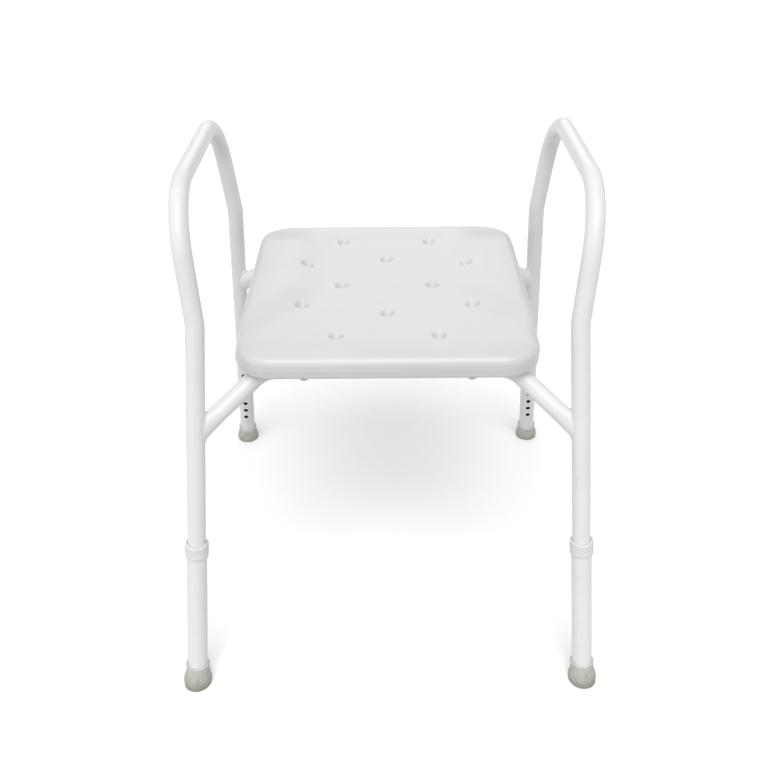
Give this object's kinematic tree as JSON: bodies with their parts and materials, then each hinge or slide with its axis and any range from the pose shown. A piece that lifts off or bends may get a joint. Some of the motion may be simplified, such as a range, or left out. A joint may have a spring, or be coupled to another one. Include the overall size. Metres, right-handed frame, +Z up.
{
  "type": "shower stool",
  "caption": "Shower stool: white tube frame with fixed arms, moulded seat with drain holes, and telescoping legs with snap buttons and rubber tips.",
  "frame": {"origin": "on the floor, under the middle of the seat", "axes": "+Z up, +X to the right seen from the front, +Y to the rear; the front edge of the seat faces -Y"},
  "size_m": [0.617, 0.674, 0.7207],
  "materials": {
    "painted_steel": "white powder coat, satin",
    "seat_plastic": "moulded white plastic, fine grain",
    "collar_plastic": "moulded light grey plastic",
    "tip_rubber": "grey rubber",
    "zinc_steel": "zinc plated",
    "button_steel": "blackened steel",
    "spring_steel": "spring steel strip",
    "insert_brass": "turned"
  },
  "bodies": {
    "frame": {"left_side_hoop": "painted_steel", "right_side_hoop": "painted_steel", "front_cross_tube": "painted_steel", "rear_cross_tube": "painted_steel", "seat": "seat_plastic", "seat_screws": "zinc_steel", "seat_saddle_washers": "zinc_steel", "seat_inserts": "insert_brass", "front_left_button_spring": "spring_steel", "front_right_button_spring": "spring_steel", "rear_left_button_spring": "spring_steel", "rear_right_button_spring": "spring_steel"},
    "front_left_leg": {"front_left_lower_leg": "painted_steel", "front_left_leg_collar": "collar_plastic", "front_left_rubber_tip": "tip_rubber", "front_left_tip_washer": "zinc_steel"},
    "front_left_button": {"front_left_snap_button": "button_steel"},
    "front_right_leg": {"front_right_lower_leg": "painted_steel", "front_right_leg_collar": "collar_plastic", "front_right_rubber_tip": "tip_rubber", "front_right_tip_washer": "zinc_steel"},
    "front_right_button": {"front_right_snap_button": "button_steel"},
    "rear_left_leg": {"rear_left_lower_leg": "painted_steel", "rear_left_leg_collar": "collar_plastic", "rear_left_rubber_tip": "tip_rubber", "rear_left_tip_washer": "zinc_steel"},
    "rear_left_button": {"rear_left_snap_button": "button_steel"},
    "rear_right_leg": {"rear_right_lower_leg": "painted_steel", "rear_right_leg_collar": "collar_plastic", "rear_right_rubber_tip": "tip_rubber", "rear_right_tip_washer": "zinc_steel"},
    "rear_right_button": {"rear_right_snap_button": "button_steel"}
  },
  "joints": [
    {"name": "front_left_leg_slide", "type": "slide", "parent": "frame", "child": "front_left_leg", "axis": [0.0682, 0.2081, 0.9757], "range_m": [0, 0.114]},
    {"name": "front_left_button_press", "type": "slide", "parent": "frame", "child": "front_left_button", "axis": [0.0145, -0.9781, 0.2076], "range_m": [0, 0.0043], "stiffness_N_per_m": 2000, "springref_m": -0.003, "deforming": ["front_left_button_spring"]},
    {"name": "front_right_leg_slide", "type": "slide", "parent": "frame", "child": "front_right_leg", "axis": [-0.0682, 0.2081, 0.9757], "range_m": [0, 0.114]},
    {"name": "front_right_button_press", "type": "slide", "parent": "frame", "child": "front_right_button", "axis": [-0.0145, -0.9781, 0.2076], "range_m": [0, 0.0043], "stiffness_N_per_m": 2000, "springref_m": -0.003, "deforming": ["front_right_button_spring"]},
    {"name": "rear_left_leg_slide", "type": "slide", "parent": "frame", "child": "rear_left_leg", "axis": [0.0682, -0.2081, 0.9757], "range_m": [0, 0.114]},
    {"name": "rear_left_button_press", "type": "slide", "parent": "frame", "child": "rear_left_button", "axis": [0.0145, 0.9781, 0.2076], "range_m": [0, 0.0043], "stiffness_N_per_m": 2000, "springref_m": -0.003, "deforming": ["rear_left_button_spring"]},
    {"name": "rear_right_leg_slide", "type": "slide", "parent": "frame", "child": "rear_right_leg", "axis": [-0.0682, -0.2081, 0.9757], "range_m": [0, 0.114]},
    {"name": "rear_right_button_press", "type": "slide", "parent": "frame", "child": "rear_right_button", "axis": [-0.0145, 0.9781, 0.2076], "range_m": [0, 0.0043], "stiffness_N_per_m": 2000, "springref_m": -0.003, "deforming": ["rear_right_button_spring"]}
  ]
}
